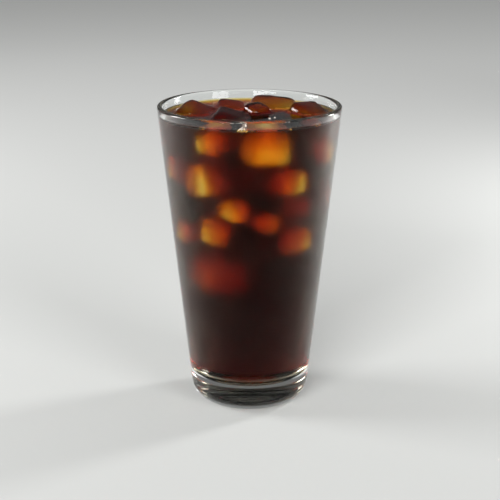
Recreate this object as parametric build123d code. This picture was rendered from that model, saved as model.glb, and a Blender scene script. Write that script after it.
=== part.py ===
from build123d import *
from dataclasses import dataclass
import os

# A tall glass of iced cold brew coffee: a conical tumbler with a thick clear base, the
# drink that fills it almost to the rim, and the ice blocks that break the surface of
# the drink. Millimetres, +Z up. The origin is the middle of the base, on the table.

# Glass, outside
glass_height = 149.5
rim_diameter = 88.9
base_diameter = 56.8  # where the straight wall would meet the table
heel_radius = 9.5
recess_diameter = 30.0  # shallow dish under the base, so that the glass stands on a ring
recess_depth = 0.8

# Glass, inside
rim_wall = 2.6
base_wall = 3.4  # thickness of the wall where it meets the floor
floor_thickness = 12.8
floor_corner_radius = 13.0
rim_rounding = 1.2

# Drink
drink_below_rim = 5.0

# Ice
ice_rounding = 4.6
ice_taper = 3.0  # degrees on each side, as a block leaves its mould
ice_gap = 0.4  # clearance that melting leaves to the glass and between two blocks


@dataclass(frozen=True)
class IceBlock:
    """One melted block that floats with a corner, an edge or a face above the drink."""

    right: float  # centre, as a share of the radius of the drink's surface
    back: float
    length: float
    width: float
    height: float
    turn: float  # about the upright, degrees
    lean: float  # then forwards, about the line to the right
    roll: float  # then sideways, about the line to the back
    shows: float  # how far its top stands above the drink


ice_blocks = {
    "ice_back": IceBlock(0.165, 0.56, 25.0, 20.0, 20.0, -4.0, 20.0, 3.0, 4.9),
    "ice_left": IceBlock(-0.71, 0.27, 19.0, 21.0, 20.0, -18.0, 12.0, 12.0, 4.9),
    "ice_middle": IceBlock(-0.24, 0.49, 19.0, 18.0, 22.0, 22.0, 12.0, 24.0, 4.9),
    "ice_front": IceBlock(-0.325, -0.21, 17.0, 21.0, 21.0, -8.0, 12.0, 15.0, 4.7),
    "ice_right": IceBlock(0.70, 0.20, 18.0, 17.0, 20.0, 38.0, 10.0, 12.0, 4.7),
    "ice_small": IceBlock(0.075, 0.13, 11.0, 11.0, 13.0, 40.0, 10.0, 8.0, 4.5),
}

# Worked out from the sizes above
rim_radius = rim_diameter / 2
base_radius = base_diameter / 2
wall_slope = (rim_radius - base_radius) / glass_height
inner_rim_radius = rim_radius - rim_wall
floor_radius = base_radius + wall_slope * floor_thickness - base_wall
cavity_slope = (inner_rim_radius - floor_radius) / (glass_height - floor_thickness)
drink_level = glass_height - drink_below_rim


def cavity_radius(height):
    """Radius of the inside of the glass at a height above the table."""
    return floor_radius + cavity_slope * (height - floor_thickness)


def corner_at(profile, radius, height):
    """The corner of a section nearest to a point given by its radius and height."""
    return profile.vertices().sort_by_distance((radius, 0, height))[0]


def make_glass():
    """The tumbler, turned from one section, with the dish cut under its base."""
    section = make_face(
        Polyline(
            (0, 0, 0),
            (base_radius, 0, 0),
            (rim_radius, 0, glass_height),
            (inner_rim_radius, 0, glass_height),
            (floor_radius, 0, floor_thickness),
            (0, 0, floor_thickness),
            close=True,
        )
    )
    roundings = [
        (base_radius, 0, heel_radius),
        (rim_radius, glass_height, rim_rounding),
        (inner_rim_radius, glass_height, rim_rounding),
        (floor_radius, floor_thickness, floor_corner_radius),
    ]
    for radius, height, rounding in roundings:
        section = fillet(corner_at(section, radius, height), rounding)
    tumbler = revolve(section, axis=Axis.Z)
    recess_radius = recess_diameter / 2
    dish_radius = (recess_radius**2 + recess_depth**2) / (2 * recess_depth)
    return tumbler - Pos(0, 0, recess_depth - dish_radius) * Sphere(dish_radius)


def make_filling(wall_gap, level):
    """What fills the inside of the glass up to a level, a gap away from the wall."""
    floor = floor_thickness + wall_gap
    section = make_face(
        Polyline(
            (0, 0, floor),
            (cavity_radius(floor) - wall_gap, 0, floor),
            (cavity_radius(level) - wall_gap, 0, level),
            (0, 0, level),
            close=True,
        )
    )
    corner = corner_at(section, cavity_radius(floor) - wall_gap, floor)
    return revolve(fillet(corner, floor_corner_radius - wall_gap), axis=Axis.Z)


def make_block(block, grow=0.0):
    """A tapered, rounded block afloat at its place, larger all round by grow."""
    outline = Rectangle(block.length + 2 * grow, block.width + 2 * grow)
    rounding = ice_rounding + grow
    height = block.height + 2 * grow
    body = extrude(outline, amount=height, taper=ice_taper)
    body = fillet(body.edges(), rounding)
    body = Pos(0, 0, -height / 2) * body
    body = Rot(0, block.roll, 0) * Rot(block.lean, 0, 0) * Rot(0, 0, block.turn) * body
    top = body.bounding_box().max.Z
    surface_radius = cavity_radius(drink_level)
    place = Pos(
        block.right * surface_radius,
        block.back * surface_radius,
        drink_level + block.shows + grow - top,
    )
    return place * body


def make_ice():
    """Every block by name, melted back from the glass and from the blocks before it."""
    room = make_filling(ice_gap, glass_height)
    blocks = {}
    for name, block in ice_blocks.items():
        body = make_block(block) & room
        for earlier in blocks:
            body -= make_block(ice_blocks[earlier], grow=ice_gap)
        blocks[name] = body.solids().sort_by(SortBy.VOLUME)[-1]
    return blocks


glass = make_glass()
ice = make_ice()
coffee = make_filling(0.0, drink_level)
for piece in ice.values():
    coffee -= piece

os.makedirs("parts", exist_ok=True)
export_step(glass, "parts/glass.step")
export_step(coffee, "parts/coffee.step")
for name, piece in ice.items():
    export_step(piece, f"parts/{name}.step")
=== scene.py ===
"""A tall glass of iced cold brew coffee, dressed round the CAD frame.

The tumbler is turned from the section of a pressed pint glass. The drink reaches just
into its wall, climbs it in a meniscus, and has a hollow for every block of ice, so
that light which crosses a block crosses no coffee. Lengths in the dataclasses are
millimetres, and meshes are built in metres.
"""

import itertools
import logging
import math
from collections.abc import Callable
from dataclasses import dataclass
from enum import Enum

import bmesh
import bpy
from mathutils import Euler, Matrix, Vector
from mathutils.bvhtree import BVHTree


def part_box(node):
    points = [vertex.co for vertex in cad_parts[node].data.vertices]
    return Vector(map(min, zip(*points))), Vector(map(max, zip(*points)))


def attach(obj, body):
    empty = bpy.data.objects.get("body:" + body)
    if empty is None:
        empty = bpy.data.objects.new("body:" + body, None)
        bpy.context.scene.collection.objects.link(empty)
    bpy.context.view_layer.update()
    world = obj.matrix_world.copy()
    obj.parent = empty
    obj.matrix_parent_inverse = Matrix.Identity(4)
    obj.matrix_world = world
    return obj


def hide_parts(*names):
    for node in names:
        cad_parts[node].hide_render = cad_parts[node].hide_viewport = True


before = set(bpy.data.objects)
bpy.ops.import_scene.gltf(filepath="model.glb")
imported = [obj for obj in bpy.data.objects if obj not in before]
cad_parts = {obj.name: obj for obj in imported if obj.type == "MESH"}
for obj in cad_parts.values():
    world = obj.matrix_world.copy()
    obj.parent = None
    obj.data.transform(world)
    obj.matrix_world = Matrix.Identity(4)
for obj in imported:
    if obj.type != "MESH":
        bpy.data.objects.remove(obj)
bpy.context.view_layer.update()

MM = 0.001
AT_CORNER = 1e-7  # m from a corner within which a vertex is at it
SAME_PLACE = 1e-6  # m within which two vertices are merged
GLASS_CREASE = math.radians(40)  # flats that meet at more than this stay sharp
DRINK_CREASE = math.radians(35)
NOISE_LOW = 0.3  # most of a noise pattern lies between these two values
NOISE_HIGH = 0.6
BODY = "root"
LOG = logging.getLogger("cold_brew")


class Slot(Enum):
    """The record's material slots."""

    GLASS = "glass"
    COFFEE = "coffee"
    ICE = "ice"


# ------------------------------
# Modelling by hand


def deselect() -> None:
    """Leaves edit mode and deselects every object."""
    if bpy.context.object and bpy.context.object.mode != "OBJECT":
        bpy.ops.object.mode_set(mode="OBJECT")
    bpy.ops.object.select_all(action="DESELECT")


def pick(*pieces: bpy.types.Object) -> None:
    """Selects these pieces alone, the first one active.

    Args:
        pieces: what to select.
    """
    deselect()
    for piece in pieces:
        piece.select_set(True)
    bpy.context.view_layer.objects.active = pieces[0]


def select_verts(piece: bpy.types.Object, wanted: Callable[[Vector], bool]) -> int:
    """Selects, in edit mode, the vertices whose place passes a test.

    Args:
        piece: the piece in edit mode.
        wanted: the test on a vertex's place, in metres.

    Returns:
        How many vertices were selected.
    """
    bpy.ops.mesh.select_mode(type="VERT")
    bpy.ops.mesh.select_all(action="DESELECT")
    mesh = bmesh.from_edit_mesh(piece.data)
    for vert in mesh.verts:
        vert.select = wanted(vert.co)
    mesh.select_flush(True)
    bmesh.update_edit_mesh(piece.data)
    return sum(vert.select for vert in mesh.verts)


def add_modifier(piece: bpy.types.Object, kind: str, **settings: object) -> None:
    """Adds a modifier with its settings and applies it.

    Args:
        piece: the piece to modify.
        kind: Blender's modifier type.
        settings: the modifier's properties.
    """
    pick(piece)
    modifier = piece.modifiers.new(kind.lower(), kind)
    for name, value in settings.items():
        setattr(modifier, name, value)
    bpy.ops.object.modifier_apply(modifier=modifier.name)


def copy_of(piece: bpy.types.Object, name: str) -> bpy.types.Object:
    """A copy of a piece with its own mesh.

    Args:
        piece: what to copy.
        name: the copy's name.

    Returns:
        The copy.
    """
    pick(piece)
    bpy.ops.object.duplicate()
    made = bpy.context.object
    made.name = name
    made.data.name = name
    return made


@dataclass(frozen=True)
class Corner:
    """A corner of a turned section, in millimetres."""

    radius: float
    height: float
    rounding: float = 0.0


def turned(
    name: str, outline: list[Corner], steps: int, arc_steps: int = 10
) -> bpy.types.Object:
    """Turns an outline about the upright axis, its corners rounded first.

    Args:
        name: the piece's name.
        outline: its corners in order, the first and last on the axis.
        steps: how many flats go round.
        arc_steps: how many flats go into a rounded corner.

    Returns:
        The closed piece.
    """
    deselect()
    bpy.ops.mesh.primitive_plane_add(size=MM)
    piece = bpy.context.object
    piece.name = name
    piece.data.name = name
    bpy.ops.object.mode_set(mode="EDIT")
    bpy.ops.mesh.select_all(action="SELECT")
    bpy.ops.mesh.merge(type="CENTER")
    places = [Vector((c.radius, 0.0, c.height)) * MM for c in outline]
    bpy.ops.transform.translate(value=places[0])
    for here, there in zip(places, places[1:]):
        bpy.ops.mesh.extrude_region_move(TRANSFORM_OT_translate={"value": there - here})
    for i in range(1, len(outline) - 1):
        if outline[i].rounding:
            here = places[i]
            turn = (here - places[i - 1]).angle(places[i + 1] - here)
            select_verts(piece, lambda co, here=here: (co - here).length < AT_CORNER)
            bpy.ops.mesh.bevel(
                offset=outline[i].rounding * MM * math.tan(turn / 2),
                segments=arc_steps,
                affect="VERTICES",
            )
    bpy.ops.mesh.select_all(action="SELECT")
    bpy.ops.mesh.spin(steps=steps, angle=math.tau, center=(0, 0, 0), axis=(0, 0, 1))
    bpy.ops.mesh.select_all(action="SELECT")
    bpy.ops.mesh.remove_doubles(threshold=SAME_PLACE)
    bpy.ops.mesh.normals_make_consistent(inside=False)
    bpy.ops.object.mode_set(mode="OBJECT")
    bpy.ops.object.shade_smooth_by_angle(angle=GLASS_CREASE)
    return piece


# ------------------------------
# Finishes


def linear(code: str) -> tuple[float, float, float, float]:
    """The linear colour of an sRGB hex code such as "c8d2d0".

    Args:
        code: six hex digits.

    Returns:
        Linear red, green and blue, and an alpha of 1.
    """
    values = [int(code[i : i + 2], 16) / 255 for i in (0, 2, 4)]
    shades = [v / 12.92 if v <= 0.04045 else ((v + 0.055) / 1.055) ** 2.4 for v in values]
    return (*shades, 1.0)


def add_node(
    tree: bpy.types.NodeTree,
    kind: str,
    settings: dict[str, object] | None = None,
    links: dict[str | int, bpy.types.NodeSocket] | None = None,
    **values: object,
) -> bpy.types.Node:
    """Adds a node with its settings, socket values and incoming links.

    Args:
        tree: the material's node tree.
        kind: the node's type.
        settings: the node's own properties.
        links: input name or number to the socket that feeds it.
        values: input name, with _ for a space, to its value.

    Returns:
        The node.
    """
    node = tree.nodes.new(kind)
    for name, value in (settings or {}).items():
        setattr(node, name, value)
    for name, value in values.items():
        node.inputs[name.replace("_", " ")].default_value = value
    for name, source in (links or {}).items():
        tree.links.new(source, node.inputs[name])
    return node


def new_material(name: str) -> tuple[bpy.types.Material, bpy.types.NodeTree]:
    """An empty node material with its output.

    Args:
        name: the material's name.

    Returns:
        The material and its node tree.
    """
    material = bpy.data.materials.new(name)
    material.use_nodes = True
    material.node_tree.nodes.clear()
    add_node(material.node_tree, "ShaderNodeOutputMaterial")
    return material, material.node_tree


def output_of(tree: bpy.types.NodeTree) -> bpy.types.Node:
    """Finds a tree's material output."""
    return next(n for n in tree.nodes if n.type == "OUTPUT_MATERIAL")


@dataclass(frozen=True)
class ClearGlass:
    """Pressed soda-lime glass, fire-polished: clear, with the faint waves of its mould."""

    name: str = "soda_lime_glass_fire_polished"
    colour: str = "fbfdfc"
    ior: float = 1.5
    roughness: float = 0.0
    shine: float = 0.35  # share of the mirror reflection that it keeps, seen head on
    wave: float = 14.0  # mm between the waves that the mould leaves
    wave_height: float = 0.02  # mm
    wave_strength: float = 0.5

    def make(self) -> bpy.types.Material:
        """Makes the finish.

        Returns:
            The material.
        """
        material, tree = new_material(self.name)
        place = add_node(tree, "ShaderNodeTexCoord").outputs["Object"]
        wave = add_node(
            tree,
            "ShaderNodeTexNoise",
            links={"Vector": place},
            Scale=1 / (self.wave * MM),
            Detail=1.0,
        )
        bump = add_node(
            tree,
            "ShaderNodeBump",
            links={"Height": wave.outputs["Fac"]},
            Strength=self.wave_strength,
            Distance=self.wave_height * MM,
        )
        shader = add_node(
            tree,
            "ShaderNodeBsdfPrincipled",
            links={"Normal": bump.outputs["Normal"]},
            Base_Color=linear(self.colour),
            Roughness=self.roughness,
            IOR=self.ior,
            Specular_Tint=(self.shine, self.shine, self.shine, 1.0),
            Transmission_Weight=1.0,
        )
        tree.links.new(shader.outputs["BSDF"], output_of(tree).inputs["Surface"])
        self.vary(tree, shader, place)
        return material

    def vary(
        self, tree: bpy.types.NodeTree, shader: bpy.types.Node, place: bpy.types.NodeSocket
    ) -> None:
        """Nothing more on clear glass.

        Args:
            tree: the material's node tree, not used here.
            shader: its shader, not used here.
            place: the socket with the place on the piece, not used here.
        """


@dataclass(frozen=True)
class FoggedGlass(ClearGlass):
    """The cold outer wall, dulled by fine dew that thins towards the rim and the base."""

    name: str = "soda_lime_glass_with_dew"
    shine: float = 0.1
    thin: float = 0.04  # roughness where the dew is thin
    thick: float = 0.2  # and where it is thick
    patch: float = 9.0  # mm across a patch of dew
    sparse: float = 0.75  # share of the dew that the thinnest patch has
    low: tuple[float, float] = (14.0, 25.0)  # mm over which it thickens above the base
    high: tuple[float, float] = (128.0, 143.0)  # mm over which it thins below the rim

    def vary(
        self, tree: bpy.types.NodeTree, shader: bpy.types.Node, place: bpy.types.NodeSocket
    ) -> None:
        """Feeds the dew's thickness to the roughness.

        Args:
            tree: the material's node tree.
            shader: its shader.
            place: the socket with the place on the piece.
        """
        height = add_node(tree, "ShaderNodeSeparateXYZ", links={"Vector": place}).outputs["Z"]
        rise, fall = [
            add_node(
                tree,
                "ShaderNodeMapRange",
                {"interpolation_type": "SMOOTHSTEP"},
                {"Value": height},
                From_Min=bare * MM,
                From_Max=dewy * MM,
            )
            for bare, dewy in (self.low, self.high[::-1])
        ]
        patches = add_node(
            tree,
            "ShaderNodeTexNoise",
            links={"Vector": place},
            Scale=1 / (self.patch * MM),
            Detail=3.0,
        )
        depth = add_node(
            tree,
            "ShaderNodeMapRange",
            links={"Value": patches.outputs["Fac"]},
            From_Min=NOISE_LOW,
            From_Max=NOISE_HIGH,
            To_Min=self.sparse,
            To_Max=1.0,
        )
        dew = add_node(
            tree,
            "ShaderNodeMath",
            {"operation": "MULTIPLY"},
            {0: fall.outputs["Result"], 1: depth.outputs["Result"]},
        )
        dull = add_node(
            tree,
            "ShaderNodeMapRange",
            links={"Value": dew.outputs["Value"]},
            To_Min=self.thin,
            To_Max=self.thick,
        )
        roughness = add_node(
            tree,
            "ShaderNodeMath",
            {"operation": "MULTIPLY"},
            {0: rise.outputs["Result"], 1: dull.outputs["Result"]},
        )
        tree.links.new(roughness.outputs["Value"], shader.inputs["Roughness"])


@dataclass(frozen=True)
class ColdBrew:
    """Cold brew coffee: water that swallows blue first, then green, then red.

    A thin layer is amber, 25 mm is deep red, and a glass of it is nearly black. Every
    face has this one finish, so that a ray knows when it leaves the coffee.
    """

    wall: float  # mm from the axis to the wall, where it would meet the table
    slope: float  # how fast the wall leans out
    level: float  # mm to the surface
    ior: float = 1.333
    red: float = 70.0  # how fast each colour dies away, for each metre
    green: float = 255.0
    blue: float = 950.0
    swirl: float = 12.0  # mm across a swirl of melt water
    blur: float = 0.68  # roughness that the swirls give it against the wall
    calm: float = 0.8  # share of the blur that the calmest patch has
    low: tuple[float, float] = (14.0, 26.0)  # mm over which the swirls begin
    depth: float = 0.5  # mm from the wall that counts as against it

    def make(self) -> bpy.types.Material:
        """Makes the finish.

        Returns:
            The material.
        """
        material, tree = new_material("cold_brew_coffee_still")
        shader = add_node(
            tree,
            "ShaderNodeBsdfPrincipled",
            links={"Roughness": self.swirls(tree)},
            Base_Color=(1.0, 1.0, 1.0, 1.0),
            IOR=self.ior,
            Specular_Tint=(0.0, 0.0, 0.0, 1.0),
            Transmission_Weight=1.0,
        )
        most = max(self.red, self.green, self.blue)
        lost = [1 - v / most for v in (self.red, self.green, self.blue)]
        inside = add_node(
            tree, "ShaderNodeVolumeAbsorption", Color=(*lost, 1.0), Density=most
        )
        tree.links.new(shader.outputs["BSDF"], output_of(tree).inputs["Surface"])
        tree.links.new(inside.outputs["Volume"], output_of(tree).inputs["Volume"])
        return material

    def swirls(self, tree: bpy.types.NodeTree) -> bpy.types.NodeSocket:
        """Roughness of the side, where melt water swirls past the wall and blurs the ice.

        Args:
            tree: the material's node tree.

        Returns:
            The socket with the roughness, 0 on every face but the side.
        """
        place = add_node(tree, "ShaderNodeTexCoord").outputs["Object"]
        height = add_node(tree, "ShaderNodeSeparateXYZ", links={"Vector": place}).outputs["Z"]
        flat = add_node(
            tree, "ShaderNodeVectorMath", {"operation": "MULTIPLY"}, {0: place}
        )
        flat.inputs[1].default_value = (1.0, 1.0, 0.0)
        radius = add_node(
            tree, "ShaderNodeVectorMath", {"operation": "LENGTH"}, {0: flat.outputs["Vector"]}
        )
        lean = add_node(
            tree,
            "ShaderNodeMath",
            {"operation": "MULTIPLY_ADD"},
            {0: height, 2: radius.outputs["Value"]},
        )
        lean.inputs[1].default_value = -self.slope
        side = add_node(
            tree, "ShaderNodeMath", {"operation": "GREATER_THAN"}, {0: lean.outputs["Value"]}
        )
        side.inputs[1].default_value = (self.wall - self.depth) * MM
        under = add_node(tree, "ShaderNodeMath", {"operation": "LESS_THAN"}, {0: height})
        under.inputs[1].default_value = self.level * MM
        rise = add_node(
            tree,
            "ShaderNodeMapRange",
            {"interpolation_type": "SMOOTHSTEP"},
            {"Value": height},
            From_Min=self.low[0] * MM,
            From_Max=self.low[1] * MM,
        )
        patches = add_node(
            tree,
            "ShaderNodeTexNoise",
            links={"Vector": place},
            Scale=1 / (self.swirl * MM),
            Detail=2.0,
        )
        strength = add_node(
            tree,
            "ShaderNodeMapRange",
            links={"Value": patches.outputs["Fac"]},
            From_Min=NOISE_LOW,
            From_Max=NOISE_HIGH,
            To_Min=self.calm * self.blur,
            To_Max=self.blur,
        )
        product = strength.outputs["Result"]
        for factor in (side.outputs["Value"], under.outputs["Value"], rise.outputs["Result"]):
            product = add_node(
                tree, "ShaderNodeMath", {"operation": "MULTIPLY"}, {0: product, 1: factor}
            ).outputs["Value"]
        return product


@dataclass(frozen=True)
class WetIce:
    """Clear ice, wet and rounded by melting. What stands out of the coffee is tinted grey,
    which is painted shade.
    """

    name: str = "clear_ice_stained_by_coffee"
    # the grey default is painted shade that darkens the ice above the coffee
    colour: str = "8f918a"
    shine: float = 1.0  # share of the mirror reflection that it keeps, seen head on
    ior: float = 1.31
    roughness: float = 0.03
    pit: float = 3.0  # mm between the dimples that melting leaves
    pit_depth: float = 0.15  # mm
    pit_strength: float = 0.6

    def make(self) -> bpy.types.Material:
        """Makes the finish.

        Returns:
            The material.
        """
        material, tree = new_material(self.name)
        place = add_node(tree, "ShaderNodeTexCoord").outputs["Object"]
        pits = add_node(
            tree,
            "ShaderNodeTexNoise",
            links={"Vector": place},
            Scale=1 / (self.pit * MM),
            Detail=2.0,
        )
        bump = add_node(
            tree,
            "ShaderNodeBump",
            links={"Height": pits.outputs["Fac"]},
            Strength=self.pit_strength,
            Distance=self.pit_depth * MM,
        )
        shader = add_node(
            tree,
            "ShaderNodeBsdfPrincipled",
            links={"Normal": bump.outputs["Normal"]},
            Base_Color=linear(self.colour),
            Roughness=self.roughness,
            IOR=self.ior,
            Specular_Tint=(self.shine, self.shine, self.shine, 1.0),
            Transmission_Weight=1.0,
        )
        tree.links.new(shader.outputs["BSDF"], output_of(tree).inputs["Surface"])
        return material


@dataclass(frozen=True)
class CloudyIce:
    """The white heart of an ice block, where fine air bubbles froze in."""

    wisp: float = 3.5  # mm across a wisp of bubbles
    thin_colour: str = "f0f0ee"
    thick_colour: str = "fffefa"
    roughness: float = 0.9

    def make(self) -> bpy.types.Material:
        """Makes the finish.

        Returns:
            The material.
        """
        material, tree = new_material("cloudy_ice_heart")
        place = add_node(tree, "ShaderNodeTexCoord").outputs["Object"]
        wisps = add_node(
            tree,
            "ShaderNodeTexNoise",
            links={"Vector": place},
            Scale=1 / (self.wisp * MM),
            Detail=3.0,
        )
        tone = add_node(tree, "ShaderNodeValToRGB", links={"Fac": wisps.outputs["Fac"]})
        tone.color_ramp.elements[0].color = linear(self.thin_colour)
        tone.color_ramp.elements[1].color = linear(self.thick_colour)
        shader = add_node(
            tree,
            "ShaderNodeBsdfPrincipled",
            links={"Base Color": tone.outputs["Color"]},
            Roughness=self.roughness,
            Specular_IOR_Level=0.0,
        )
        tree.links.new(shader.outputs["BSDF"], output_of(tree).inputs["Surface"])
        return material


@dataclass(frozen=True)
class Froth:
    """The thin pale film of a bubble of coffee, which catches the light as a white spark."""

    colour: str = "fbf1e6"
    ior: float = 1.333
    roughness: float = 0.12
    clear: float = 0.55  # share of the light that goes through the film

    def make(self) -> bpy.types.Material:
        """Makes the finish.

        Returns:
            The material.
        """
        material, tree = new_material("coffee_froth_film")
        shader = add_node(
            tree,
            "ShaderNodeBsdfPrincipled",
            Base_Color=linear(self.colour),
            Roughness=self.roughness,
            IOR=self.ior,
            Transmission_Weight=self.clear,
        )
        tree.links.new(shader.outputs["BSDF"], output_of(tree).inputs["Surface"])
        return material


# ------------------------------
# The object's pieces


def dress(
    piece: bpy.types.Object, material: bpy.types.Material, replaced: str | None = None
) -> bpy.types.Object:
    """Gives a finished piece its material and body, and hides the CAD node that it stands for.

    Args:
        piece: the piece.
        material: its finish.
        replaced: the CAD node that it stands for, if any.

    Returns:
        The piece.
    """
    piece.data.materials.clear()
    piece.data.materials.append(material)
    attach(piece, BODY)
    if replaced:
        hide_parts(replaced)
    LOG.info("%s: %d faces", piece.name, len(piece.data.polygons))
    return piece


def coat_faces(
    piece: bpy.types.Object,
    material: bpy.types.Material,
    wanted: Callable[[Vector, Vector], bool],
) -> None:
    """Gives another finish to the faces that pass a test.

    Args:
        piece: the dressed piece.
        material: the finish.
        wanted: the test on a face's middle and normal, in metres.
    """
    piece.data.materials.append(material)
    for face in piece.data.polygons:
        if wanted(face.center, face.normal):
            face.material_index = len(piece.data.materials) - 1


@dataclass(frozen=True)
class Tumbler:
    """A conical pint tumbler with a thick base, in millimetres."""

    height: float  # of the rim
    reach: float  # half the width across the rim
    floor: float  # thickness of the base
    level: float  # height of the drink's surface
    base_radius: float = 28.4  # where the straight wall would meet the table
    heel_rounding: float = 9.5
    recess_radius: float = 15.0  # of the dish under the base
    recess_depth: float = 0.8
    recess_rings: int = 6
    rim_wall: float = 2.6
    base_wall: float = 3.4
    floor_rounding: float = 13.0
    rim_rounding: float = 1.2
    dry_height: float = 11.5  # the outside stays dry up to here
    inside_start: float = 1.8  # height that is above the dish and under the drink
    upward: float = 0.9  # a normal that rises more than this is of the floor
    flats: int = 224

    @classmethod
    def from_frame(cls) -> "Tumbler":
        """Reads the sizes from the frame's glass and drink.

        Returns:
            The tumbler.
        """
        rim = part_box("glass")[1] / MM
        low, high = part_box("coffee")
        return cls(height=rim.z, reach=rim.x, floor=low.z / MM, level=high.z / MM)

    @property
    def rim_radius(self) -> float:
        """Radius where the straight wall would meet the rim's plane."""
        slope = (self.reach - self.base_radius) / (self.height - self.rim_rounding)
        return self.base_radius + slope * self.height

    def outside(self, height: float) -> float:
        """Radius of the outer wall at a height, in millimetres."""
        return self.base_radius + (self.rim_radius - self.base_radius) * height / self.height

    def inside(self, height: float) -> float:
        """Radius of the inner wall.

        Args:
            height: above the table, in millimetres.

        Returns:
            The radius, in millimetres.
        """
        slope = (self.rim_radius - self.base_radius) / self.height
        low = self.base_radius + slope * self.floor - self.base_wall
        high = self.rim_radius - self.rim_wall
        return low + (high - low) * (height - self.floor) / (self.height - self.floor)

    def build(self) -> bpy.types.Object:
        """Turns the tumbler from one section.

        Returns:
            The tumbler's piece.
        """
        rings = self.recess_rings
        dish = [
            Corner(self.recess_radius * k / rings, self.recess_depth * (1 - (k / rings) ** 2))
            for k in range(rings + 1)
        ]
        outline = [
            *dish,
            Corner(self.base_radius, 0.0, self.heel_rounding),
            Corner(self.outside(self.dry_height), self.dry_height),
            Corner(self.outside(self.level), self.level),
            Corner(self.rim_radius, self.height, self.rim_rounding),
            Corner(self.rim_radius - self.rim_wall, self.height, self.rim_rounding),
            Corner(self.inside(self.level), self.level),
            Corner(self.inside(self.floor), self.floor, self.floor_rounding),
            Corner(0.0, self.floor),
        ]
        piece = turned("tumbler", outline, self.flats)
        dress(piece, ClearGlass().make(), "glass")
        coat_faces(piece, FoggedGlass().make(), self.is_cold_wall)
        wetted = ClearGlass(name="soda_lime_glass_under_coffee", shine=0.0)
        coat_faces(piece, wetted.make(), self.is_wetted)
        return piece

    def is_cold_wall(self, place: Vector, normal: Vector) -> bool:
        """Whether dew forms on a face: outside, above the heel and below the drink's level."""
        outward = normal.xy.dot(place.xy) > 0.0
        return outward and self.dry_height < place.z / MM < self.level

    def is_wetted(self, place: Vector, normal: Vector) -> bool:
        """Whether a face of the inside is under the drink."""
        inward = normal.xy.dot(place.xy) < 0.0 or normal.z > self.upward
        return inward and self.inside_start < place.z / MM < self.level


@dataclass(frozen=True)
class Block:
    """A block of ice: its centre, size and turns, in millimetres and degrees."""

    name: str
    centre: tuple[float, float, float]
    size: tuple[float, float, float]
    turns: tuple[float, float, float]  # about X, Y and Z, applied Z first
    node: str | None = None  # the CAD node that it replaces, if it floats at the surface
    cloud: float = 0.94  # size of its cloudy heart, as a share of the block


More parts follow.
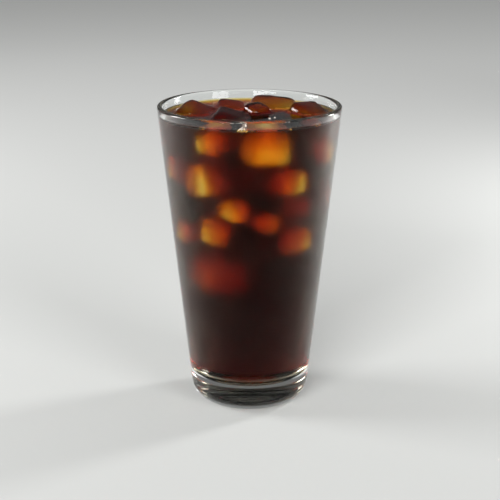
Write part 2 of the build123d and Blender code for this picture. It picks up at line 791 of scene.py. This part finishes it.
@dataclass(frozen=True)
class Ice:
    """The blocks: six that break the surface, and those sunk below them."""

    tumbler: Tumbler
    hollow_gap: float = 0.06  # mm by which a block reaches into the coffee round it
    block_gap: float = 0.3  # mm between two blocks
    wall_gap: float = 0.9  # mm between a block and the glass
    rim_gap: float = 0.2  # mm that a floating block stays under the rim
    sunk_gap: float = 1.5  # mm of coffee over the highest sunk block
    jostle_rounds: int = 60
    jostle_reach: float = 6.0  # mm past which a vertex can't be inside another block
    jostle_step: float = 0.7  # share of a move that is made in one round
    jostle_skip: int = 3  # one vertex in so many is tested against another block
    float_share: float = 0.1  # share of a push that a floating block takes from a sunk one
    settled: float = 0.02  # mm of movement below which the blocks are at rest
    cuts: int = 3  # in each edge of the cube that a block starts as
    roundness: float = 0.22
    float_roundness: float = 0.14
    top_start: float = 0.3  # share of the height above the middle where the top begins
    top_shrink: float = 0.9  # a block is this much narrower there, as it leaves its mould
    melt: float = 1.2  # mm of uneven melting
    melt_width: float = 11.0  # mm from one hump to the next
    pattern_step: tuple[float, float] = (0.37, 0.11)  # m between two blocks' patterns
    cloud_depth: float = 2.8  # mm that a cloudy heart swells and shrinks by
    cloud_width: float = 8.0  # mm from one of its humps to the next
    cloud_inset: float = 0.3  # mm that it lies deeper all round
    cloud_roundness: float = 0.6
    cloud_softening: float = 0.5  # how strongly its humps are smoothed
    cloud_softenings: int = 4

    def floating(self) -> list[Block]:
        """The blocks that break the surface.

        Returns:
            A block for each CAD node of ice, near that node's place.
        """
        return [
            Block(f"ice_melting_{word}", centre, size, turns, f"ice_{word}", 0.0)
            for word, centre, size, turns in (
                ("back", (6.8, 21.6, 138.5), (24, 17, 19), (14, 3, -4)),
                ("left", (-29, 10.5, 138), (18, 20, 20), (12, 12, -18)),
                ("middle", (-12.2, 18.5, 138), (15, 14, 20), (12, 10, 12)),
                ("front", (-13.0, -7.0, 138), (17, 18, 19), (12, 15, -8)),
                ("right", (28.6, 8.3, 138), (17, 17, 20), (10, 12, 38)),
                ("small", (3.0, 5.4, 142.6), (11, 10, 11.5), (10, 8, 40)),
            )
        ]

    def sunk(self) -> list[Block]:
        """The blocks below the surface.

        Returns:
            The blocks, each with a cloudy heart.
        """
        return [
            Block(f"ice_sunk_{letter}", centre, size, turns)
            for letter, centre, size, turns in (
                ("a", (6.0, -27.2, 134.4), (24, 15, 16), (-3, 4, 6)),
                ("b", (-17.4, -29.2, 138.6), (19, 10, 10.5), (3, -4, 12)),
                ("c", (-13.8, -23.4, 115.5), (18, 17, 18), (-6, -6, 28)),
                ("d", (12.6, -22.5, 120.6), (19, 14, 13), (-4, 8, -10)),
                ("e", (-6.0, -22.5, 107.4), (15, 11, 10), (-6, 6, 30)),
                ("f", (-15.8, -19.0, 97.0), (15, 14, 14), (-6, 10, 4)),
                ("g", (19.0, -16.0, 91.0), (15, 15, 14), (-8, -8, 10)),
                ("h", (-24, -10, 90), (11, 12, 11), (-10, 8, -16)),
                ("i", (9.6, -22.0, 99.2), (12, 10, 9), (0, 10, -10)),
                ("j", (-7.0, -6.6, 73), (25, 20, 20), (10, 12, 20)),
                ("k", (12, -2, 110), (17, 16, 16), (-12, -8, 16)),
                ("l", (-8, -7, 108), (15, 14, 15), (10, 6, -20)),
                ("m", (30, -10, 131), (11, 12, 14), (16, -10, 20)),
                ("n", (-31, -7, 122), (11, 12, 13), (-6, 16, -12)),
                ("o", (12, 22, 109), (20, 18, 18), (-14, 6, 12)),
                ("p", (-13, 21, 108), (20, 18, 18), (12, 10, -24)),
                ("q", (4, -4, 82), (17, 16, 16), (-9, 12, 16)),
                ("r", (26, 3, 107), (15, 15, 15), (8, 18, 34)),
                ("s", (-18, 12, 86), (17, 17, 17), (-12, -14, 12)),
                ("t", (8, 20, 86), (18, 17, 17), (10, -12, 22)),
                ("u", (1.4, -18.5, 116.5), (13, 11, 12), (12, 20, 20)),
                ("v", (15.5, -13.0, 104), (13, 11, 11), (-12, 16, 24)),
            )
        ]

    def make_block(self, block: Block, number: int) -> bpy.types.Object:
        """One block, as a cube that was melted round and uneven.

        Args:
            block: its place and size.
            number: which block it is, so that each melts differently.

        Returns:
            The block's piece.
        """
        deselect()
        bpy.ops.mesh.primitive_cube_add(size=1.0)
        piece = bpy.context.object
        piece.name = block.name
        piece.data.name = block.name
        bpy.ops.object.mode_set(mode="EDIT")
        bpy.ops.mesh.select_all(action="SELECT")
        bpy.ops.mesh.subdivide(number_cuts=self.cuts)
        bpy.ops.transform.tosphere(value=self.float_roundness if block.node else self.roundness)
        bpy.ops.transform.resize(value=Vector(block.size) * MM)
        top = block.size[2] * self.top_start * MM
        select_verts(piece, lambda co: co.z > top)
        bpy.ops.transform.resize(value=(self.top_shrink, self.top_shrink, 1.0))
        bpy.ops.object.mode_set(mode="OBJECT")
        add_modifier(piece, "SUBSURF", levels=2, render_levels=2)
        self.melt_unevenly(piece, number, self.melt, self.melt_width)
        piece.rotation_mode = "ZXY"
        piece.rotation_euler = Euler([math.radians(a) for a in block.turns], "ZXY")
        pick(piece)
        bpy.ops.object.transform_apply(location=False, rotation=True, scale=False)
        bpy.ops.object.shade_smooth()
        return piece

    def jostle(self, blocks: list[Block], pieces: list[bpy.types.Object]) -> list[Vector]:
        """Finds where the blocks come to rest when those that touch push apart.

        Args:
            blocks: their first places.
            pieces: their shapes, at the origin.

        Returns:
            Where each block's middle goes, in millimetres.
        """
        shapes = [[v.co / MM for v in p.data.vertices] for p in pieces]
        faces = [[tuple(f.vertices) for f in p.data.polygons] for p in pieces]
        places = [Vector(b.centre) for b in blocks]
        reach = [max(co.length for co in shape) for shape in shapes]
        for _ in range(self.jostle_rounds):
            verts = [[co + place for co in shape] for shape, place in zip(shapes, places)]
            trees = [BVHTree.FromPolygons(v, f) for v, f in zip(verts, faces)]
            moves = [Vector() for _ in blocks]
            for i, j in itertools.permutations(range(len(blocks)), 2):
                if (places[i] - places[j]).length > reach[i] + reach[j]:
                    continue
                push = self.push_out(verts[i], trees[j])
                share = 0.5
                if blocks[i].node and not blocks[j].node:
                    share = self.float_share
                elif blocks[j].node and not blocks[i].node:
                    share = 1 - self.float_share
                moves[i] += push * share
                moves[j] -= push * (1 - share)
            for i, block in enumerate(blocks):
                moves[i] += self.push_in(verts[i], bool(block.node))
                if block.node:
                    moves[i].z = min(moves[i].z, 0.0)
                places[i] += moves[i] * self.jostle_step
            if max(m.length for m in moves) < self.settled:
                break
        return places

    def push_out(self, verts: list[Vector], tree: BVHTree) -> Vector:
        """How far a block has to move to stand clear of another one.

        Args:
            verts: the block's vertices.
            tree: the other block's faces.

        Returns:
            The move, in millimetres.
        """
        deepest = self.block_gap
        move = Vector()
        for co in verts[:: self.jostle_skip]:
            place, normal, _, distance = tree.find_nearest(co, self.jostle_reach)
            if place is None:
                continue
            if (co - place).dot(normal) < 0:
                distance = -distance
            if distance < deepest:
                deepest = distance
                move = normal * (self.block_gap - distance)
        return move

    def push_in(self, verts: list[Vector], floats: bool) -> Vector:
        """How far a block has to move to stand clear of the wall and the surface.

        Args:
            verts: the block's vertices.
            floats: whether it breaks the surface.

        Returns:
            The move, in millimetres.
        """
        glass = self.tumbler
        top = glass.height - self.rim_gap if floats else glass.level - self.sunk_gap
        over = max(co.z for co in verts) - top
        move = Vector((0.0, 0.0, -max(over, 0.0)))
        tight, outermost = min(
            ((glass.inside(co.z) - co.xy.length, co) for co in verts), key=lambda pair: pair[0]
        )
        if tight < self.wall_gap:
            outward = outermost.xy.normalized()
            move -= Vector((outward.x, outward.y, 0.0)) * (self.wall_gap - tight)
        return move

    def melt_unevenly(
        self, piece: bpy.types.Object, number: int, depth: float, width: float
    ) -> None:
        """Raises and sinks a block's faces by a soft pattern.

        Args:
            piece: the block, still at the origin.
            number: which part of the pattern it takes.
            depth: from the lowest to the highest, in millimetres.
            width: from one hump to the next, in millimetres.
        """
        hump = bpy.data.textures.new(f"melting_{piece.name}", "CLOUDS")
        hump.noise_scale = width * MM
        hump.noise_depth = 1
        piece.location = (number * self.pattern_step[0], number * self.pattern_step[1], 0.0)
        add_modifier(
            piece,
            "DISPLACE",
            texture=hump,
            texture_coords="GLOBAL",
            strength=depth * MM,
            mid_level=0.5,
        )
        piece.location = (0.0, 0.0, 0.0)

    def heart_of(self, piece: bpy.types.Object, block: Block) -> bpy.types.Object:
        """The cloudy heart in a block, where the air froze in last.

        Args:
            piece: the block.
            block: its place and size.

        Returns:
            The heart's piece.
        """
        heart = copy_of(piece, f"{piece.name}_heart")
        bpy.ops.object.mode_set(mode="EDIT")
        bpy.ops.mesh.select_all(action="SELECT")
        bpy.ops.transform.tosphere(value=self.cloud_roundness)
        bpy.ops.transform.resize(
            value=(block.cloud, block.cloud, block.cloud), center_override=(0.0, 0.0, 0.0)
        )
        bpy.ops.object.mode_set(mode="OBJECT")
        number = sum(ord(letter) for letter in block.name)
        self.melt_unevenly(heart, number, self.cloud_depth, self.cloud_width)
        add_modifier(heart, "DISPLACE", strength=-self.cloud_inset * MM, mid_level=0.0)
        add_modifier(
            heart, "SMOOTH", factor=self.cloud_softening, iterations=self.cloud_softenings
        )
        return heart

    def is_sunk(self, place: Vector, normal: Vector) -> bool:
        """Whether a face of a block is under the drink's surface."""
        return place.z / MM < self.tumbler.level

    def hollow_of(self, piece: bpy.types.Object) -> bpy.types.Object:
        """A copy of a block, smaller by the gap, to cut its hollow in the drink.

        Args:
            piece: the block.

        Returns:
            The cutter.
        """
        cutter = copy_of(piece, f"{piece.name}_hollow")
        add_modifier(cutter, "DISPLACE", strength=-self.hollow_gap * MM, mid_level=0.0)
        return cutter

    def build(self) -> tuple[list[bpy.types.Object], list[bpy.types.Object]]:
        """Builds and dresses the blocks and their hearts.

        Returns:
            The cutters of the floating blocks, and those of the sunk ones.
        """
        # the floating blocks' finish has WetIce's grey tint, which is painted shade
        finish = WetIce().make()
        sunk_finish = WetIce(name="clear_ice_in_coffee", colour="f6fafb", shine=0.0).make()
        cloudy = CloudyIce().make()
        cutters = ([], [])
        blocks = [*self.floating(), *self.sunk()]
        pieces = [self.make_block(block, number) for number, block in enumerate(blocks)]
        places = self.jostle(blocks, pieces)
        for block, piece, place in zip(blocks, pieces, places):
            heart = self.heart_of(piece, block) if block.cloud else None
            for made in (piece, heart):
                if made:
                    made.location = place * MM
                    pick(made)
                    bpy.ops.object.transform_apply(location=True, rotation=False, scale=False)
            cutters[0 if block.node else 1].append(self.hollow_of(piece))
            if heart:
                dress(heart, cloudy)
            dress(piece, finish if block.node else sunk_finish, block.node)
            if block.node:
                coat_faces(piece, sunk_finish, self.is_sunk)
        return cutters


@dataclass(frozen=True)
class Drink:
    """The coffee, with a meniscus on the wall and round the ice that breaks it."""

    tumbler: Tumbler
    reach: float = 0.1  # mm that it reaches into the glass
    climb: float = 0.9  # mm that it climbs up the wall
    climb_width: float = 2.0  # mm over which the climb falls to a third
    ice_climb: float = 1.0  # mm that it climbs up the ice
    ice_climb_width: float = 3.2  # mm from the ice where that climb begins
    ice_climb_margin: float = 4.0  # mm from the wall where only the wall's climb counts
    surface_band: float = 0.5  # mm under the level that still counts as surface
    ring_step: float = 0.8  # mm between two rings of the surface

    def outline(self) -> list[Corner]:
        """The section of the drink.

        Returns:
            Its corners, from the middle of the floor to the middle of the surface.
        """
        glass = self.tumbler
        floor = glass.floor - self.reach
        top = glass.level + self.climb
        edge = glass.inside(top) + self.reach
        corners = [
            Corner(0.0, floor),
            Corner(glass.inside(floor) + self.reach, floor, glass.floor_rounding),
        ]
        rings = int(edge / self.ring_step)
        for k in range(rings + 1):
            inward = edge * k / rings
            rise = self.climb * math.exp(-inward / self.climb_width)
            corners.append(Corner(edge - inward, glass.level + rise))
        return corners

    def build(
        self, floating: list[bpy.types.Object], sunk: list[bpy.types.Object]
    ) -> bpy.types.Object:
        """Builds the drink with its hollows.

        Args:
            floating: cutters of the blocks that break the surface.
            sunk: cutters of the blocks below it.

        Returns:
            The drink's piece.
        """
        glass = self.tumbler
        piece = turned("cold_brew", self.outline(), glass.flats)
        pick(*floating)
        bpy.ops.object.join()
        cutter = floating[0]
        near = "near_ice"
        lowest = (glass.level - self.surface_band) * MM
        edge = (glass.inside(glass.level) - self.ice_climb_margin) * MM
        top = [
            v.index
            for v in piece.data.vertices
            if v.co.z > lowest and v.co.xy.length < edge
        ]
        piece.vertex_groups.new(name=near).add(top, 1.0, "REPLACE")
        add_modifier(
            piece,
            "VERTEX_WEIGHT_PROXIMITY",
            vertex_group=near,
            target=cutter,
            proximity_mode="GEOMETRY",
            proximity_geometry={"FACE"},
            min_dist=self.ice_climb_width * MM,
            max_dist=0.0,
            falloff_type="SHARP",
        )
        add_modifier(
            piece,
            "DISPLACE",
            direction="Z",
            strength=self.ice_climb * MM,
            mid_level=0.0,
            vertex_group=near,
        )
        add_modifier(piece, "BOOLEAN", operation="DIFFERENCE", solver="EXACT", object=cutter)
        bpy.data.objects.remove(cutter)
        for hollow in sunk:
            pick(hollow)
            bpy.ops.object.mode_set(mode="EDIT")
            bpy.ops.mesh.select_all(action="SELECT")
            bpy.ops.mesh.flip_normals()
            bpy.ops.object.mode_set(mode="OBJECT")
        pick(piece, *sunk)
        bpy.ops.object.join()
        piece.vertex_groups.clear()
        bpy.ops.object.shade_smooth_by_angle(angle=DRINK_CREASE)
        wall = glass.inside(0.0)
        finish = ColdBrew(wall, glass.inside(1.0) - wall, glass.level)
        return dress(piece, finish.make(), "coffee")


@dataclass(frozen=True)
class Bubbles:
    """Small bubbles of air afloat at the surface, against the wall and between the blocks."""

    tumbler: Tumbler
    sunk_share: float = 0.35  # how much of a bubble's height is under the surface
    flatness: float = 0.8  # its height as a share of its width
    flats: int = 20

    def places(self) -> list[tuple[float, float, float]]:
        """Where the bubbles are.

        Returns:
            Each bubble's right, back and diameter, in millimetres.
        """
        return [
            (-3.2, -39.2, 3.0),
            (-1.3, -39.9, 1.4),
            (-4.9, -39.6, 1.2),
            (-2.4, -37.8, 1.5),
            (-3.6, -36.0, 1.0),
            (-2.0, -34.4, 1.3),
            (-3.0, -32.2, 0.9),
            (-1.6, -30.4, 1.1),
            (-2.6, -27.5, 1.5),
            (-1.0, -25.6, 1.0),
            (-1.9, -22.8, 1.2),
            (1.2, -38.6, 0.9),
            (-20.0, -34.5, 1.2),
            (-21.8, -33.6, 0.9),
            (18.0, -35.6, 1.1),
            (30.5, -25.0, 1.2),
            (29.0, -26.8, 0.8),
            (9.5, -12.0, 1.2),
            (12.0, -9.0, 0.9),
        ]

    def build(self) -> None:
        """Builds the bubbles, as one piece."""
        shells = []
        for right, back, width in self.places():
            deselect()
            middle = self.tumbler.level + width * (0.5 - self.sunk_share)
            bpy.ops.mesh.primitive_uv_sphere_add(
                segments=self.flats,
                ring_count=self.flats // 2,
                radius=width / 2 * MM,
                location=Vector((right, back, middle)) * MM,
            )
            shell = bpy.context.object
            bpy.ops.object.mode_set(mode="EDIT")
            bpy.ops.mesh.select_all(action="SELECT")
            bpy.ops.transform.resize(
                value=(1.0, 1.0, self.flatness),
                center_override=Vector((right, back, middle)) * MM,
            )
            bpy.ops.object.mode_set(mode="OBJECT")
            shells.append(shell)
        pick(*shells)
        bpy.ops.object.join()
        piece = bpy.context.object
        piece.name = "bubbles"
        piece.data.name = "bubbles"
        bpy.ops.object.transform_apply(location=True, rotation=True, scale=True)
        bpy.ops.object.shade_smooth()
        dress(piece, Froth().make())


# ------------------------------
# The studio


@dataclass(frozen=True)
class Lamp:
    """A soft box, its place and size in metres and its power in watts."""

    name: str
    place: tuple[float, float, float]
    size: tuple[float, float]  # width and height
    power: float

    def hang(self, aim: Vector) -> None:
        """Hangs the lamp.

        Args:
            aim: the point that it faces, in metres.
        """
        data = bpy.data.lights.new(self.name, "AREA")
        data.shape = "RECTANGLE"
        data.size, data.size_y = self.size
        data.energy = self.power
        lamp = bpy.data.objects.new(self.name, data)
        lamp.location = self.place
        lamp.rotation_euler = (aim - Vector(self.place)).to_track_quat("-Z", "Y").to_euler()
        bpy.context.scene.collection.objects.link(lamp)


@dataclass(frozen=True)
class Studio:
    """A pale floor with painted shade round the glass, soft light and the camera."""

    distance: float = 600.0  # mm from the camera to the middle of the glass
    pitch: float = 17.3  # degrees that the camera looks down
    lens: float = 86.9  # mm
    shift: tuple[float, float] = (0.001, 0.006)  # shares of the picture's width
    nearest: float = 0.01  # m from the camera where it begins to see
    floor_width: float = 12.0  # m
    # the floor's colour near the glass: painted shade, which also darkens the glass's
    # reflections of it
    floor_painted_shade: str = "bfc0be"
    floor_far: str = "f4f5f3"
    floor_shade_reach: tuple[float, float] = (0.15, 1.3)  # m from the glass over which the painted shade fades into the pale floor
    floor_roughness: float = 0.9
    surround: str = "f2f3f2"
    surround_strength: float = 0.17
    bounces: int = 40  # so that light gets through every wall, block and heart
    lamps: tuple[Lamp, ...] = (
        Lamp("key_front", (-1.3, -3.4, 1.25), (2.2, 1.7), 235.0),
        Lamp("fill_front_right", (2.4, -2.8, 1.0), (1.6, 1.5), 110.0),
        Lamp("side_right", (0.6, 0.32, 0.24), (0.12, 0.3), 4.0),
        Lamp("side_left", (-0.9, 0.12, 0.3), (0.4, 0.3), 9.0),
    )

    def floor(self) -> None:
        """Lays a pale floor, wide enough to fill every view, darker round the glass as painted
        shade.
        """
        deselect()
        bpy.ops.mesh.primitive_plane_add(size=self.floor_width, location=(0.0, 0.0, 0.0))
        plane = bpy.context.object
        plane.name = "floor"
        material, tree = new_material("studio_floor_matt")
        place = add_node(tree, "ShaderNodeTexCoord").outputs["Object"]
        away = add_node(tree, "ShaderNodeVectorMath", {"operation": "LENGTH"}, {0: place})
        share = add_node(
            tree,
            "ShaderNodeMapRange",
            {"interpolation_type": "SMOOTHSTEP"},
            {"Value": away.outputs["Value"]},
            From_Min=self.floor_shade_reach[0],
            From_Max=self.floor_shade_reach[1],
        )
        # painted shade: the floor is darker near the glass and paler further off
        tone = add_node(tree, "ShaderNodeValToRGB", links={"Fac": share.outputs["Result"]})
        tone.color_ramp.elements[0].color = linear(self.floor_painted_shade)
        tone.color_ramp.elements[1].color = linear(self.floor_far)
        shader = add_node(
            tree,
            "ShaderNodeBsdfPrincipled",
            links={"Base Color": tone.outputs["Color"]},
            Roughness=self.floor_roughness,
        )
        tree.links.new(shader.outputs["BSDF"], output_of(tree).inputs["Surface"])
        plane.data.materials.append(material)

    def camera(self, middle: Vector) -> None:
        """Sets up the camera, aimed at the middle of the glass.

        Args:
            middle: that point, in metres.
        """
        pitch = math.radians(self.pitch)
        back = Vector((0.0, -math.cos(pitch), math.sin(pitch)))
        data = bpy.data.cameras.new("camera")
        data.lens = self.lens
        data.shift_x, data.shift_y = self.shift
        data.clip_start = self.nearest
        camera = bpy.data.objects.new("camera", data)
        camera.location = middle + back * self.distance * MM
        camera.rotation_euler = (-back).to_track_quat("-Z", "Y").to_euler()
        bpy.context.scene.collection.objects.link(camera)
        bpy.context.scene.camera = camera

    def world(self) -> None:
        """Makes an even pale surround."""
        world = bpy.data.worlds.new("surround")
        world.use_nodes = True
        background = world.node_tree.nodes["Background"]
        background.inputs["Color"].default_value = linear(self.surround)
        background.inputs["Strength"].default_value = self.surround_strength
        bpy.context.scene.world = world

    def build(self) -> None:
        """Builds everything round the object."""
        middle = Vector((0.0, 0.0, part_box("glass")[1].z / 2))
        self.floor()
        self.camera(middle)
        self.world()
        for lamp in self.lamps:
            lamp.hang(middle)
        scene = bpy.context.scene
        scene.view_settings.view_transform = "Standard"
        scene.cycles.max_bounces = self.bounces
        scene.cycles.transmission_bounces = self.bounces


def main() -> None:
    """Builds the glass, its ice, the drink and the studio."""
    logging.basicConfig(level=logging.INFO, format="%(message)s")
    tumbler = Tumbler.from_frame()
    Studio().build()
    tumbler.build()
    floating, sunk = Ice(tumbler).build()
    Drink(tumbler).build(floating, sunk)
    Bubbles(tumbler).build()


if __name__ == "__main__":
    main()
